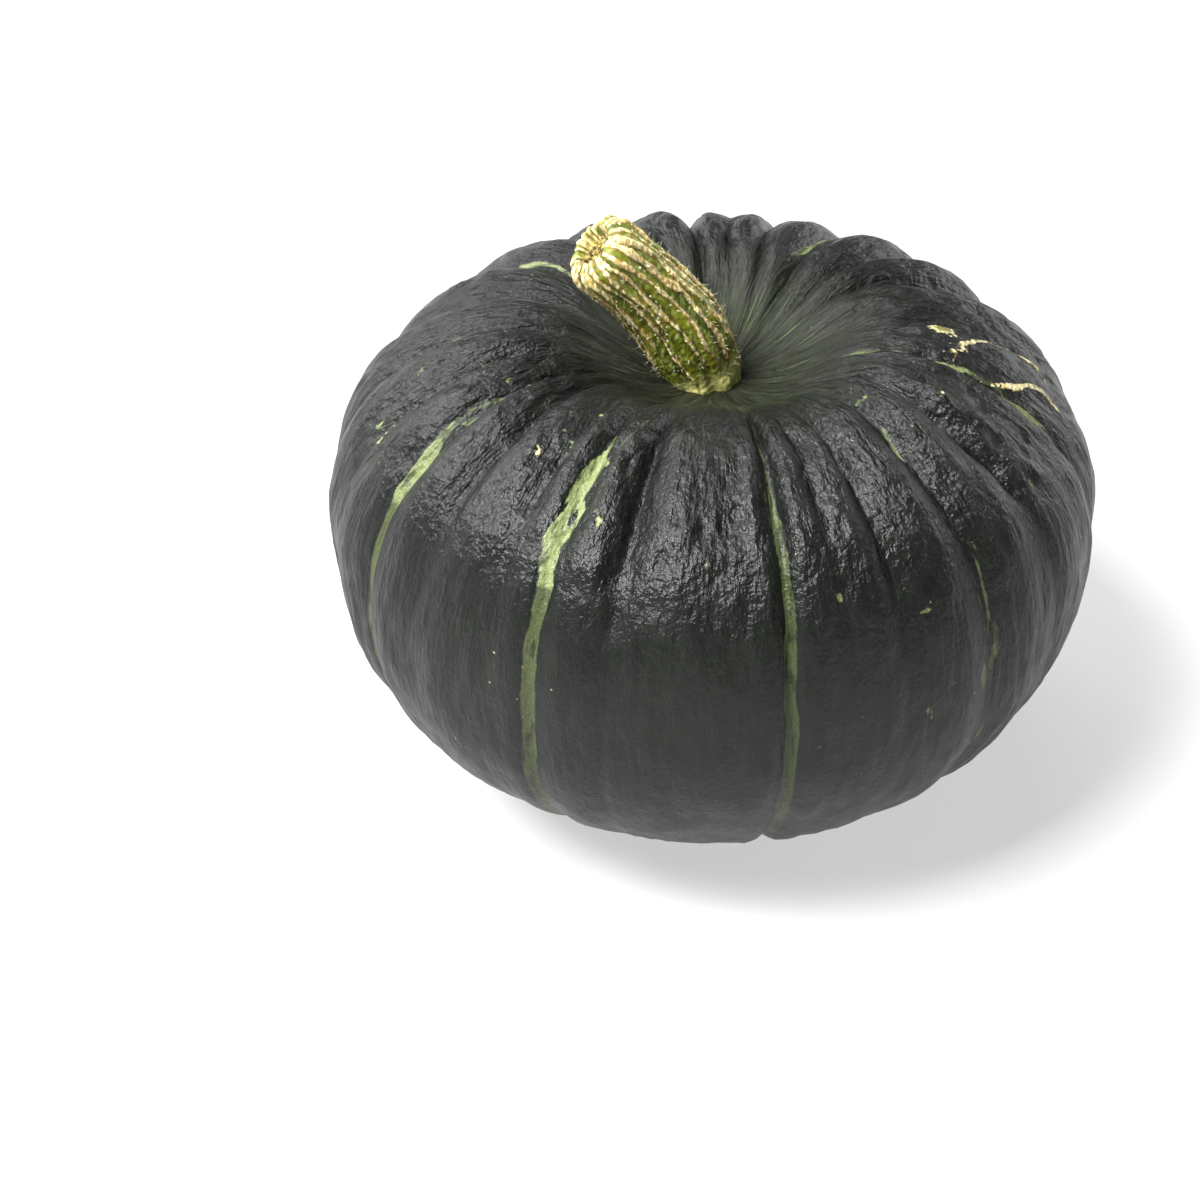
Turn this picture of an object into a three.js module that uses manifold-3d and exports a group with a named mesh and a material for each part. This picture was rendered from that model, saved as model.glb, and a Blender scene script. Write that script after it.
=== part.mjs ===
// A whole kabocha squash (a small, flattened, dark-skinned pumpkin) with its cut stem.
// Millimetres, +Z up. The origin is under the middle of the fruit, on the surface it rests on.
// Azimuths are in degrees, from the front (-Y) towards +X. Latitudes are in degrees, from the
// widest level of the fruit, positive towards the stem.

import * as THREE from 'three'
import { mergeVertices } from 'three/addons/utils/BufferGeometryUtils.js'
import Module from 'manifold-3d'

// Fruit: the envelope that touches the crests of the ribs, as shares of its radius.
const FRUIT_RADIUS = 92.5
const UPPER_RISE = 0.66 // height of the upper half before its top sinks in
const UPPER_POWER = 2.5 // 2 is an ellipse, more is squarer shoulders
const LOWER_RISE = 0.735
const LOWER_POWER = 2.05
const SINK = 0.27 // depth of the hollow round the stem
const SINK_REACH = 0.34
const SINK_POWER = 2.4
const KNOLL = 0.036 // rise of the flesh to the stem, in the middle of the hollow
const KNOLL_REACH = 0.14
const NAVEL = 0.085 // depth of the blossom-end dimple underneath
const NAVEL_REACH = 0.24
const STAND = 0.679 // the widest level stands this far above the resting surface
const FRUIT_COLUMNS = 108
const FRUIT_ROWS = 36

// Grooves between the ribs, as [azimuth, depth in mm at the shoulder].
const MAIN_GROOVES = [
  [12.3, 3.0], [43.8, 3.0], [78.5, 2.8], [121, 3.2], [152, 3.0],
  [187, 3.4], [235, 3.0], [272, 3.0], [302, 3.0], [336.4, 2.0],
]
const SIDE_GROOVES = [
  [20.5, 1.4], [28.5, 2.4], [59, 3.2], [69, 1.2], [97, 2.0], [135, 3.2], [165, 2.6], [177, 3.0],
  [199, 1.6], [213, 3.2], [255, 3.2], [287, 3.0], [315, 3.2], [329, 1.6], [346.5, 3.0], [354.5, 1.0],
]
const MAIN_GROOVE = { width: 6.4, lowShare: 0.42 } // lowShare: the depth left far from the shoulder
const SIDE_GROOVE = { width: 5.6, lowShare: 0.06 }
const SHOULDER_LATITUDE = 56
const SHOULDER_SPREAD = 26

// Stem: a ribbed, bent stub that leans to the left (-X) and a little forward (-Y).
const STEM_FOOT = new THREE.Vector3(0, 0.5, 96) // under the skin, where the cut to its shape begins
const STEM_BEND = new THREE.Vector3(-6, 0.5, 119)
const STEM_TIP = new THREE.Vector3(-27.8, -8, 139)
const STEM_RADIUS = 9.1
const STEM_BELLY = { at: 0.4, width: 0.22, swell: 1.4 } // the thickest stretch, as shares of its length
const STEM_ANKLE = { at: 0.06, width: 0.14, swell: -1.2 } // the waist just above the skin
const STEM_RIBS = 10
const STEM_RIB_DEPTH = 0.6
const STEM_COLUMNS = 40
const STEM_ROWS = 12
const STEM_RIM = 2.0 // how far the worn edge of the cut end is rounded over
const STEM_RIM_ROWS = 3
const STEM_GAP = 0.3 // clearance between the stem's foot and the skin under it

const wasm = await Module()
wasm.setup()

// The share of the way from one value to another, eased at both ends.
function ease(from, to, value) {
  return THREE.MathUtils.smoothstep(value, from, to)
}

// Reach and height of the envelope at a latitude, as shares of the radius.
function envelope(latitude) {
  const angle = THREE.MathUtils.degToRad(Math.min(Math.abs(latitude), 90))
  const upper = latitude >= 0
  const power = upper ? UPPER_POWER : LOWER_POWER
  const reach = Math.max(Math.cos(angle), 0) ** (2 / power)
  const rise = Math.sin(angle) ** (2 / power)
  const hollow = SINK * Math.exp(-((reach / SINK_REACH) ** SINK_POWER))
  const knoll = KNOLL * Math.exp(-((reach / KNOLL_REACH) ** 2))
  const dimple = NAVEL * Math.exp(-((reach / NAVEL_REACH) ** 2))
  const height = upper ? UPPER_RISE * rise - hollow + knoll : dimple - LOWER_RISE * rise
  return new THREE.Vector2(reach, height)
}

// How deep the grooves are cut at one point of the envelope, in mm.
function grooveDepth(azimuth, latitude, reach) {
  const shoulder = Math.exp(-(((latitude - SHOULDER_LATITUDE) / SHOULDER_SPREAD) ** 2))
  const fade = latitude > 0 ? ease(0.08, 0.42, reach) : ease(0.2, 0.6, reach)
  const cut = (grooves, shape) => grooves.reduce((sum, [at, depth]) => {
    const away = (THREE.MathUtils.euclideanModulo(azimuth - at + 180, 360) - 180) / shape.width
    const cross = 0.65 * Math.exp(-(away ** 2)) + 0.35 * Math.exp(-((away / 0.4) ** 2))
    return sum + depth * cross
  }, 0) * (shape.lowShare + (1 - shape.lowShare) * shoulder) * fade
  return cut(MAIN_GROOVES, MAIN_GROOVE) + cut(SIDE_GROOVES, SIDE_GROOVE)
}

// One point of the skin: the envelope, pushed in along its normal by the grooves.
function skinPoint(azimuth, latitude) {
  const step = 0.4
  const here = envelope(latitude)
  const slope = envelope(latitude + step).sub(envelope(latitude - step)).normalize()
  const depth = grooveDepth(azimuth, latitude, here.x)
  const reach = here.x * FRUIT_RADIUS - depth * slope.y
  const height = (here.y + STAND) * FRUIT_RADIUS + depth * slope.x
  const turn = THREE.MathUtils.degToRad(azimuth)
  return new THREE.Vector3(reach * Math.sin(turn), -reach * Math.cos(turn), Math.max(height, 0))
}

// Merge shared vertices and drop the triangles that shrink to a line at the poles.
function welded(geometry) {
  geometry.deleteAttribute('normal')
  geometry.deleteAttribute('uv')
  const merged = mergeVertices(geometry, 1e-3)
  const index = merged.getIndex()
  const kept = []
  for (let i = 0; i < index.count; i += 3) {
    const [a, b, c] = [index.getX(i), index.getX(i + 1), index.getX(i + 2)]
    if (a !== b && b !== c && c !== a) kept.push(a, b, c)
  }
  merged.setIndex(kept)
  return merged
}

function toManifold(geometry) {
  return new wasm.Manifold(new wasm.Mesh({
    numProp: 3,
    vertProperties: new Float32Array(geometry.getAttribute('position').array),
    triVerts: new Uint32Array(geometry.getIndex().array),
  }))
}

function fromManifold(solid) {
  const mesh = solid.getMesh()
  const geometry = new THREE.BufferGeometry()
  geometry.setAttribute('position', new THREE.BufferAttribute(mesh.vertProperties, 3))
  geometry.setIndex(new THREE.BufferAttribute(mesh.triVerts, 1))
  return geometry
}

// Fruit: a lathe whose grid of columns and rows is moved onto the ribbed skin.
function fruitGeometry() {
  const profile = []
  for (let row = 0; row <= FRUIT_ROWS; row++) {
    const { x, y } = envelope(-90 + (180 * row) / FRUIT_ROWS)
    profile.push(new THREE.Vector2(x * FRUIT_RADIUS, y * FRUIT_RADIUS))
  }
  const lathe = new THREE.LatheGeometry(profile, FRUIT_COLUMNS)
  const position = lathe.getAttribute('position')
  for (let column = 0; column <= FRUIT_COLUMNS; column++) {
    for (let row = 0; row <= FRUIT_ROWS; row++) {
      const azimuth = (360 * (column % FRUIT_COLUMNS)) / FRUIT_COLUMNS
      const point = skinPoint(azimuth, -90 + (180 * row) / FRUIT_ROWS)
      position.setXYZ(column * (FRUIT_ROWS + 1) + row, point.x, point.y, point.z)
    }
  }
  return welded(lathe)
}

// Radius of the stem at a share of its length: drawn in at the skin, then swollen.
function stemRadius(share) {
  const swell = (band) => band.swell * Math.exp(-(((share - band.at) / band.width) ** 2))
  return STEM_RADIUS + swell(STEM_BELLY) + swell(STEM_ANKLE)
}

// Half of the straight stem's outline, from its foot to its rounded cut end, both on the axis.
function stemProfile(length) {
  const body = length - STEM_RIM
  const profile = [new THREE.Vector2(0, 0)]
  for (let row = 0; row <= STEM_ROWS; row++) {
    const height = (body * row) / STEM_ROWS
    profile.push(new THREE.Vector2(stemRadius(height / length), height))
  }
  const shoulder = stemRadius(body / length) - STEM_RIM
  for (let row = 1; row <= STEM_RIM_ROWS; row++) {
    const turn = (Math.PI / 2) * (row / STEM_RIM_ROWS)
    profile.push(new THREE.Vector2(shoulder + STEM_RIM * Math.cos(turn), body + STEM_RIM * Math.sin(turn)))
  }
  profile.push(new THREE.Vector2(0, length))
  return profile
}

// Stem: a lathe of the stub's radius, ribbed lengthwise, bent along its curve, and cut
// underneath to the shape of the hollow it grows from.
function stemGeometry(fruit) {
  const route = new THREE.QuadraticBezierCurve3(STEM_FOOT, STEM_BEND, STEM_TIP)
  const length = route.getLength()
  const lathe = new THREE.LatheGeometry(stemProfile(length), STEM_COLUMNS)
  const position = lathe.getAttribute('position')
  const side = new THREE.Vector3(0, 1, 0)
  for (let i = 0; i < position.count; i++) {
    const straight = new THREE.Vector3().fromBufferAttribute(position, i)
    const share = THREE.MathUtils.clamp(straight.y / length, 0, 1)
    const turn = Math.atan2(straight.x, straight.z)
    const reach = Math.hypot(straight.x, straight.z)
    const ribbed = reach - STEM_RIB_DEPTH * (reach / STEM_RADIUS) * (1 - Math.cos(STEM_RIBS * turn)) / 2
    const along = route.getTangentAt(share)
    const across = new THREE.Vector3().crossVectors(side, along).normalize()
    const depthwise = new THREE.Vector3().crossVectors(along, across)
    const point = route.getPointAt(share)
    point.addScaledVector(across, ribbed * Math.sin(turn))
    point.addScaledVector(depthwise, -ribbed * Math.cos(turn))
    position.setXYZ(i, point.x, point.y, point.z)
  }
  const raised = fruit.clone().translate(0, 0, STEM_GAP)
  return fromManifold(toManifold(welded(lathe)).subtract(toManifold(raised)))
}

function part(name, geometry, material) {
  geometry.computeVertexNormals()
  const mesh = new THREE.Mesh(geometry, new THREE.MeshStandardMaterial(material))
  mesh.name = name
  return mesh
}

const fruit = fruitGeometry()
const squash = new THREE.Group()
squash.name = 'kabocha_squash'
squash.add(
  part('fruit', fruit, { color: 0x1f2a1d, roughness: 0.35, metalness: 0 }),
  part('stem', stemGeometry(fruit), { color: 0x9fa852, roughness: 0.7, metalness: 0 }),
)

export default squash
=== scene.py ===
"""A whole kabocha pumpkin: ribbed dark rind, pale stripes, corky scars and a bent cut stem.

Metres, +Z up, the front at -Y. Azimuths are in degrees from the front towards +X. Latitudes are in
degrees from the widest level of the fruit, positive towards the stem. "Skin" coordinates are a
cylinder of constant radius: azimuth round it and length along the profile up it, so a pattern that
uses them draws together towards the stem as the skin itself does.
"""
import math
import random

import bpy
import numpy as np
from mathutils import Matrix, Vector, noise


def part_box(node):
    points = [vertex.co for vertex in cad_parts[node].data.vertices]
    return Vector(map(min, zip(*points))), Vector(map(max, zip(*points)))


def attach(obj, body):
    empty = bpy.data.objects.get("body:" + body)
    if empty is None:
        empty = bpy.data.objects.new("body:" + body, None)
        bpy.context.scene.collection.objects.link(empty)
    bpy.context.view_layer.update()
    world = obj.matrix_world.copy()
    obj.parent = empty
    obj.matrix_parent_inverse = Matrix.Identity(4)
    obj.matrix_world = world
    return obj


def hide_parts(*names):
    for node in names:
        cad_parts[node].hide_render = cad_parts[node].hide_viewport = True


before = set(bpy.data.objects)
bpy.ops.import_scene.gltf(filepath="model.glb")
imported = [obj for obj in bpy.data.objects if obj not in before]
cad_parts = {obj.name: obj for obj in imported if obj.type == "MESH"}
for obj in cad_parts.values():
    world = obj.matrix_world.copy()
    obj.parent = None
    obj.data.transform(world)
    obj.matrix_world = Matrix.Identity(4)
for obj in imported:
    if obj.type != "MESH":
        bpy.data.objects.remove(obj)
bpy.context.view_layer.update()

MM = 0.001
TAU = 2 * math.pi

# Fruit: the same envelope as the frame's fruit, as shares of its radius.
RADIUS = 92.5 * MM
UPPER_RISE, UPPER_POWER = 0.66, 2.5
LOWER_RISE, LOWER_POWER = 0.735, 2.05
SINK, SINK_REACH, SINK_POWER = 0.27, 0.34, 2.4
KNOLL, KNOLL_REACH = 0.036, 0.14
NAVEL, NAVEL_REACH = 0.085, 0.24
STAND = 0.679
COLUMNS, ROWS = 540, 185
SKIN_RADIUS = 75 * MM

# Margins round each piece's UV map, and how far the poles lie beyond its first and last rows.
UV_SIDE, UV_END, UV_POLE = 0.002, 0.012, 0.01

# Grooves between the ribs: azimuth, depth at the shoulder in millimetres. The main ones carry the
# pale stripes and run from the stem to the blossom end; the side ones fade below the shoulder.
MAIN_GROOVES = (
    (12.3, 4.4), (43.8, 4.4), (78.5, 4.0), (121, 5.0), (152, 4.6),
    (187, 5.2), (235, 4.6), (272, 4.3), (302, 4.4), (336.4, 3.0),
)
SIDE_GROOVES = (
    (20.5, 1.6), (29, 4.0), (59, 5.0), (69, 1.6), (97, 3.0), (135, 5.0), (167, 3.8),
    (177, 1.8), (199, 2.4), (213, 5.0), (255, 5.0), (287, 4.6), (315, 5.0), (329, 2.4),
    (346.5, 5.2), (4, 1.0),
)
MAIN_LOW, SIDE_LOW = 0.50, 0.08
SHOULDER, SHOULDER_SPREAD = 54, 29
LOBE_ROUNDNESS = 1.15
LOBE_SINK = 0.7 * MM

# Relief of the skin. The grooves wander, and swirl in the stem hollow, by about these degrees. The
# rest says how high or deep each kind of relief is. SLOPE_STEP, in degrees, is for the normals.
WANDER, SWIRL = 1.3, 16
SWELLS, LUMPS, DENTS, WRINKLES, FOLDS = 1.0 * MM, 0.45 * MM, 1.15 * MM, 1.1 * MM, 1.9 * MM
SCAR_RISE, SCAB_RISE, STRIPE_SINK = 0.35 * MM, 0.25 * MM, 0.12 * MM
SLOPE_STEP = 0.4

# Marks on the skin are strokes: points of (azimuth, latitude, full width in mm), joined up. A tone
# from 0, dark olive, to 1, pale yellow-green, leads each green stroke.
STRIPES = (
    (0.45, (12, 67, 0.4), (11.8, 63.5, 0.6), (12, 55, 0.8)),
    (0.22, (12, 55, 0.8), (12.4, 45, 1.3)),
    (0.08, (12.4, 45, 1.4), (12.4, 33, 2.2), (12.2, 15, 2.9), (12.3, 0, 3.5), (12.3, -40, 3.0),
     (12.3, -66, 0)),
    (0.40, (10.8, 52, 0.7), (11.3, 42, 0.8), (11.5, 37, 0)),
    (0.30, (45, 61, 0), (44, 58, 1.0), (43.5, 53, 0.9), (43, 49, 0.5)),
    (0.15, (43, 49, 0.4), (42.5, 40, 0.5), (43.5, 33, 0.5), (45, 30, 1.1), (44.6, 26, 0.9)),
    (0.25, (44.6, 26, 0.9), (44.5, 20, 1.1), (44.6, 14, 1.2), (45.2, 9, 1.3), (45, 5.5, 1.0)),
    (0.25, (43, 26, 0.3), (43, 19.5, 0.5), (43.1, 14, 0.7), (43.9, 7, 1.0), (43.6, 3, 1.9)),
    (0.30, (43.6, 3, 1.9), (43.6, 0, 1.2), (44.4, -4, 0.6), (44.8, -9, 1.0), (44.5, -13, 1.2),
     (44, -20, 0.4)),
    (0.35, (42, 5, 0.9), (41.9, 3, 1.9), (42.3, 1, 1.0)),
    (0.60, (80.5, 76, 0.8), (79.5, 70, 1.2), (78.5, 65, 1.4), (79.3, 59, 1.3), (80.5, 54, 1.0)),
    (0.05, (80, 54, 0.8), (80.5, 50, 1.3), (80, 46, 0.6)),
    (0.35, (79.4, 46, 0.5), (79.4, 40, 1.4), (78.5, 32, 2.6), (77.5, 20, 3.2), (76, 8, 2.8),
     (76, -20, 2.4), (76, -50, 0)),
    (0.40, (121, 24, 0), (121.3, 12, 1.8), (121, 0, 2.6), (121, -40, 2.4), (121, -62, 0)),
    (0.45, (152.5, 73, 0), (152.5, 69, 0.8), (151.6, 64, 1.5), (151.8, 56, 1.3), (152, 48, 0.5)),
    (0.20, (152, 48, 0.5), (152, 20, 2.0), (152, -20, 2.6), (152, -60, 0)),
    (0.30, (187, 44, 0), (187, 34, 1.8), (187, 0, 3.6), (187, -40, 3.0), (187, -64, 0)),
    (0.70, (234, 68, 0.4), (233.8, 64, 0.7), (233, 59, 1.4), (233.6, 55, 1.7), (234, 50, 0.4)),
    (0.40, (236, 40, 0.6), (236.3, 30, 2.2), (236.3, 0, 3.0), (236.3, -45, 2.2), (236.3, -60, 0)),
    (0.55, (272, 61, 0.3), (272, 58, 0.8), (271.5, 54, 1.3), (271.7, 51.5, 2.0), (272.2, 48, 0.6),
     (272.5, 45, 1.3)),
    (0.60, (272.5, 45, 1.3), (272.6, 41, 2.4), (272.9, 37, 2.0), (273.4, 33, 2.4), (273.8, 28, 1.6),
     (274, 20, 0.5)),
    (0.35, (274.3, 44, 0.4), (274.8, 40, 0.7), (275, 37, 0.4)),
    (0.35, (274, 20, 0.5), (274, 8, 1.2), (274, -20, 2.6), (274, -56, 0)),
    (0.25, (306, 64, 0), (304, 61, 0.6), (301, 57, 0.5), (300.5, 52, 0.6), (300.6, 47, 1.0)),
    (0.65, (300.6, 47, 1.0), (300.8, 43, 1.6), (301.2, 40, 3.0), (301.5, 36, 3.8), (302, 26, 3.6)),
    (0.15, (302, 26, 3.6), (302, 10, 2.6), (302, -8, 3.0), (302, -30, 2.2), (302, -62, 0)),
    (0.45, (301.9, 52.5, 0.6), (301.7, 49, 0.9)),
    (0.85, (337.2, 61, 0), (336.9, 58, 1.4), (336.5, 54.5, 3.2), (336, 50, 3.0), (335.6, 47, 2.6)),
    (0.85, (335.6, 47, 2.6), (335.4, 43, 1.6), (335.3, 38, 3.4), (335.8, 28, 3.4)),
    (0.85, (337.3, 55.8, 0.9), (338.4, 54.8, 1.0)),
    (0.85, (336.2, 46.5, 1.6), (337.4, 44.5, 1.8), (337.4, 41, 1.3), (336.6, 37, 1.2)),
    (0.15, (335.8, 28, 3.4), (336, 10, 2.8), (336, -10, 3.2), (336, -40, 2.4), (336, -64, 0)),
    (0.15, (343, 66, 0.3), (341, 62, 0.5), (339, 58, 0.3)),
)

# Small pale flecks, the same way.
FLECKS = (
    (0.5, (20, 29.6, 1.2), (20.1, 28, 0.9)),
    (0.4, (31.9, 21.4, 1.0), (33.3, 21.6, 1.3)),
    (0.3, (35.4, 5, 0.5), (36.6, 5.3, 0.5)),
    (0.3, (23, -7, 0.8), (23.2, -8, 0.7)),
    (1.0, (32.3, 2.2, 1.6), (32.8, 0.6, 0.9)),
    (0.9, (16, 1, 0.6), (16.1, 0.8, 0.6)),
    (0.9, (33.5, -20, 0.8), (33.7, -20.3, 0.8)),
    (0.7, (31.2, -24, 0.7), (32, -24.4, 0.8)),
    (0.9, (22, 5, 0.4), (22.4, 3.6, 0.6)),
    (0.8, (329.2, 65.2, 1.3), (330, 64.7, 1.0)),
    (0.9, (328.3, 56.6, 1.3), (328.9, 55.8, 1.0)),
    (0.6, (325.3, 58, 0.7), (325.6, 57.7, 0.7)),
    (0.7, (341, 50.8, 0.7), (341.2, 49.6, 0.7)),
    (0.9, (340.6, 45.2, 0.8), (340.4, 44.5, 0.8)),
    (0.7, (358.9, 37.4, 0.9), (359.2, 36.4, 1.1)),
    (0.9, (341.5, 43.6, 0.6), (341.4, 41.8, 0.7)),
    (0.35, (46, 66.8, 1.5), (48, 65.9, 1.0)),
    (0.7, (28.5, 64.5, 0.8), (28.8, 64.2, 0.8)),
    (0.7, (59.5, 74.5, 0.7), (60, 74.3, 0.7)),
    (0.4, (63.5, 33.7, 0.7), (62.6, 31.4, 0.8)),
    (0.4, (65, 65.7, 0.6), (65.4, 65.2, 0.6)),
    (0.9, (285.4, 34, 1.0), (284.9, 31.4, 1.4)),
    (0.7, (280.2, 48, 0.8), (281.4, 46, 0.8)),
    (0.6, (281.5, 46.8, 0.7), (282.1, 45.2, 0.7)),
    (0.9, (245, 63, 0.7), (245.2, 62.8, 0.7)),
    (0.8, (256, 69.6, 0.9), (256.5, 69, 0.8)),
    (0.9, (286.4, 58.1, 0.6), (287.2, 57.7, 0.6)),
    (0.7, (298.4, 60.7, 0.9), (298.9, 60.1, 0.8)),
    (0.9, (305.4, 62.2, 0.8), (305.9, 61.8, 0.7)),
)

# Corky scars, cream and tan.
SCARS = (
    ((79.5, 57.4, 1.0), (82, 57.6, 1.2), (86.5, 57, 1.8), (90, 54.5, 1.7), (93, 51, 1.2), (96, 46, 1.0)),
    ((96, 46, 1.0), (97, 41.5, 1.0), (96.5, 39, 1.6), (96.5, 35.5, 1.2), (92, 34, 0.5)),
    ((84, 57.5, 0.7), (85, 54.5, 0.6), (86, 53.4, 0.3)),
    ((88.5, 56, 0.6), (88.8, 54.2, 0.3)),
    ((79.6, 61, 0.5), (81.5, 60.4, 0.9), (84, 58.8, 0.6)),
    ((77, 55.2, 0.5), (78, 53, 0.9), (79.5, 51, 0.4)),
    ((79.8, 49.3, 0.8), (81, 47, 1.6), (83, 44, 2.0), (85.2, 41, 1.5)),
    ((85.2, 41, 1.5), (86, 38.5, 1.9), (86.2, 35.5, 1.1), (85.5, 33, 1.5), (84.3, 31.5, 0.8)),
    ((86, 36.5, 0.8), (88.5, 34.5, 0.5), (89.5, 31, 0.4)),
    ((78, 36, 0.8), (78.2, 34, 0.8)),
    ((83, 25.8, 0.7), (84.5, 22, 0.5)),
    ((287.6, 36.2, 1.2), (288.6, 35, 0.9)),
    ((288.2, 33.2, 1.5), (288.7, 31.2, 1.2), (288.3, 29.4, 0.8)),
    ((290.3, 31.4, 0.8), (290.6, 30.2, 0.9)),
    ((290.8, 36, 0.6), (291, 35.4, 0.6)),
    ((286.8, 40.6, 0.6), (287.2, 40.1, 0.6)),
    ((323.6, 53, 0.9), (324.1, 51.2, 1.4)),
    ((32.3, 2.2, 0.7), (32.4, 1.9, 0.7)),
    ((62.4, 56.7, 1.1), (62.9, 56.3, 1.0)),
    ((13.9, 38.7, 0.9), (13.9, 38.3, 0.9)),
    ((254, 84.6, 1.3), (256, 84.5, 1.3)),
    ((0.2, 25, 0.3), (0.5, 24.8, 0.3)),
    ((163, 22, 1.2), (166, 18, 1.6), (170, 16.5, 1.0), (173, 17.5, 0.5)),
    ((206, 41, 0.8), (207.5, 38, 1.2), (208, 35, 0.6)),
    ((128, -22, 1.2), (133, -25, 1.8), (137, -24, 0.8)),
)

# An olive scab with a cream rim beside the scars.
SCAB = (
    ((90.2, 61.0, 2.2), (92.0, 60.6, 4.2), (93.6, 59.6, 4.8), (95.6, 59.4, 2.6)),
    ((91.4, 62.6, 1.6), (92.6, 61.2, 2.6)),
    ((94.8, 58.2, 2.0), (97.2, 56.9, 1.0)),
    ((88.6, 58.9, 0.8), (91, 57.4, 1.0)),
)


def ease(low, high, value):
    """0 below low, 1 above high, smooth between them."""
    share = np.clip((value - low) / (high - low), 0, 1)
    return share * share * (3 - 2 * share)


def turn_between(azimuth, other):
    """The signed turn from other to azimuth, in degrees."""
    return (azimuth - other + 180) % 360 - 180


def field(points, size, seed=0.0):
    """Perlin noise, about -1 to 1, with features about that size in metres."""
    scaled = (points / size + seed).reshape(-1, 3)
    return np.array([noise.noise(p) for p in scaled.tolist()]).reshape(points.shape[:-1])


def envelope(latitude):
    """Reach and height of the rib crests, as shares of the radius."""
    angle = np.radians(np.minimum(np.abs(latitude), 90))
    upper = latitude >= 0
    power = np.where(upper, UPPER_POWER, LOWER_POWER)
    reach = np.maximum(np.cos(angle), 0) ** (2 / power)
    rise = np.sin(angle) ** (2 / power)
    hollow = SINK * np.exp(-((reach / SINK_REACH) ** SINK_POWER))
    knoll = KNOLL * np.exp(-((reach / KNOLL_REACH) ** 2))
    dimple = NAVEL * np.exp(-((reach / NAVEL_REACH) ** 2))
    return reach, np.where(upper, UPPER_RISE * rise - hollow + knoll, dimple - LOWER_RISE * rise)


def even_latitudes(rows):
    """Latitudes from -90 to 90 whose points are evenly spaced along the profile, and their lengths."""
    fine = np.linspace(-90, 90, 4001)
    reach, height = envelope(fine)
    length = np.concatenate([[0], np.cumsum(np.hypot(np.diff(reach), np.diff(height)))]) * RADIUS
    even = np.linspace(0, length[-1], rows + 1)
    return np.interp(even, length, fine), even


def groove_depth(azimuth, latitude, reach):
    """How deep the skin lies under the crests: rounded lobes that meet in creases, in metres."""
    shoulder = np.exp(-(((latitude - SHOULDER) / SHOULDER_SPREAD) ** 2))
    fade = np.where(latitude > 0, ease(0.12, 0.48, reach), ease(0.2, 0.6, reach))
    grooves = sorted([(*g, MAIN_LOW) for g in MAIN_GROOVES] + [(*g, SIDE_LOW) for g in SIDE_GROOVES])
    picker = random.Random(4)
    depth = np.zeros_like(azimuth)
    for (at, deep, low), (after, deep_after, low_after) in zip(grooves, grooves[1:] + grooves[:1]):
        sink = picker.random() * LOBE_SINK
        across = ((azimuth - at) % 360) / ((after - at) % 360)
        lobe = (4 * np.clip(across, 0, 1) * np.clip(1 - across, 0, 1)) ** LOBE_ROUNDNESS
        left = deep * (low + (1 - low) * shoulder)
        right = deep_after * (low_after + (1 - low_after) * shoulder)
        valley = (left + (right - left) * across) * MM
        depth = np.where(across <= 1, (1 - lobe) * valley + lobe * sink * shoulder, depth)
    return depth * fade


def strokes_inside(azimuth, latitude, reach, strokes):
    """How far inside the nearest stroke a point is, in metres, and that stroke's number."""
    latitudes, lengths = even_latitudes(ROWS)
    along = np.interp(latitude, latitudes, lengths)
    arc = np.radians(reach * RADIUS)
    inside = np.full_like(azimuth, -1.0)
    nearest = np.zeros(azimuth.shape, int)
    for number, stroke in enumerate(strokes):
        for (az0, lat0, width0), (az1, lat1, width1) in zip(stroke, stroke[1:]):
            start, end = np.interp((lat0, lat1), latitudes, lengths)
            x, y = turn_between(azimuth, az0) * arc, along - start
            dx, dy = turn_between(az1, az0) * arc, end - start
            share = np.clip((x * dx + y * dy) / (dx * dx + dy * dy + 1e-12), 0, 1)
            half = (width0 + (width1 - width0) * share) * MM / 2
            here = half - np.hypot(x - share * dx, y - share * dy)
            nearest = np.where(here > inside, number, nearest)
            inside = np.maximum(inside, here)
    return inside, nearest


def mesh_grid(name, points, low_pole, high_pole):
    """A quad mesh of a rows x columns grid, closed round, with a fan to each pole point."""
    rows, columns = points.shape[:2]
    verts = points.reshape(-1, 3).tolist()
    index = np.arange(rows * columns).reshape(rows, columns)
    faces, uvs = [], []
    heights = np.linspace(0.0, 1.0, rows)
    for r in range(rows - 1):
        for c in range(columns):
            d = (c + 1) % columns
            faces.append((index[r, c], index[r, d], index[r + 1, d], index[r + 1, c]))
            u0, u1 = c / columns, (c + 1) / columns
            uvs += [(u0, heights[r]), (u1, heights[r]), (u1, heights[r + 1]), (u0, heights[r + 1])]
    for pole, row in ((low_pole, 0), (high_pole, rows - 1)):
        tip = len(verts)
        verts.append(tuple(pole))
        for c in range(columns):
            d = (c + 1) % columns
            ends = (index[row, d], index[row, c]) if row == 0 else (index[row, c], index[row, d])
            u0, u1 = ((c + 1) / columns, c / columns) if row == 0 else (c / columns, (c + 1) / columns)
            faces.append((*ends, tip))
            end = -UV_POLE if row == 0 else 1 + UV_POLE
            uvs += [(u0, heights[row]), (u1, heights[row]), ((u0 + u1) / 2, end)]
    mesh = bpy.data.meshes.new(name)
    mesh.from_pydata(verts, [], [tuple(int(i) for i in face) for face in faces])
    layer = mesh.uv_layers.new(name="OFBake")
    coords = np.array(uvs)
    coords[:, 0] = UV_SIDE + coords[:, 0] * (1 - 2 * UV_SIDE)
    coords[:, 1] = UV_END + coords[:, 1] * (1 - 2 * UV_END)
    layer.data.foreach_set("uv", coords.ravel())
    mesh.polygons.foreach_set("use_smooth", [True] * len(mesh.polygons))
    mesh.update()
    piece = bpy.data.objects.new(name, mesh)
    bpy.context.collection.objects.link(piece)
    return piece


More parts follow.
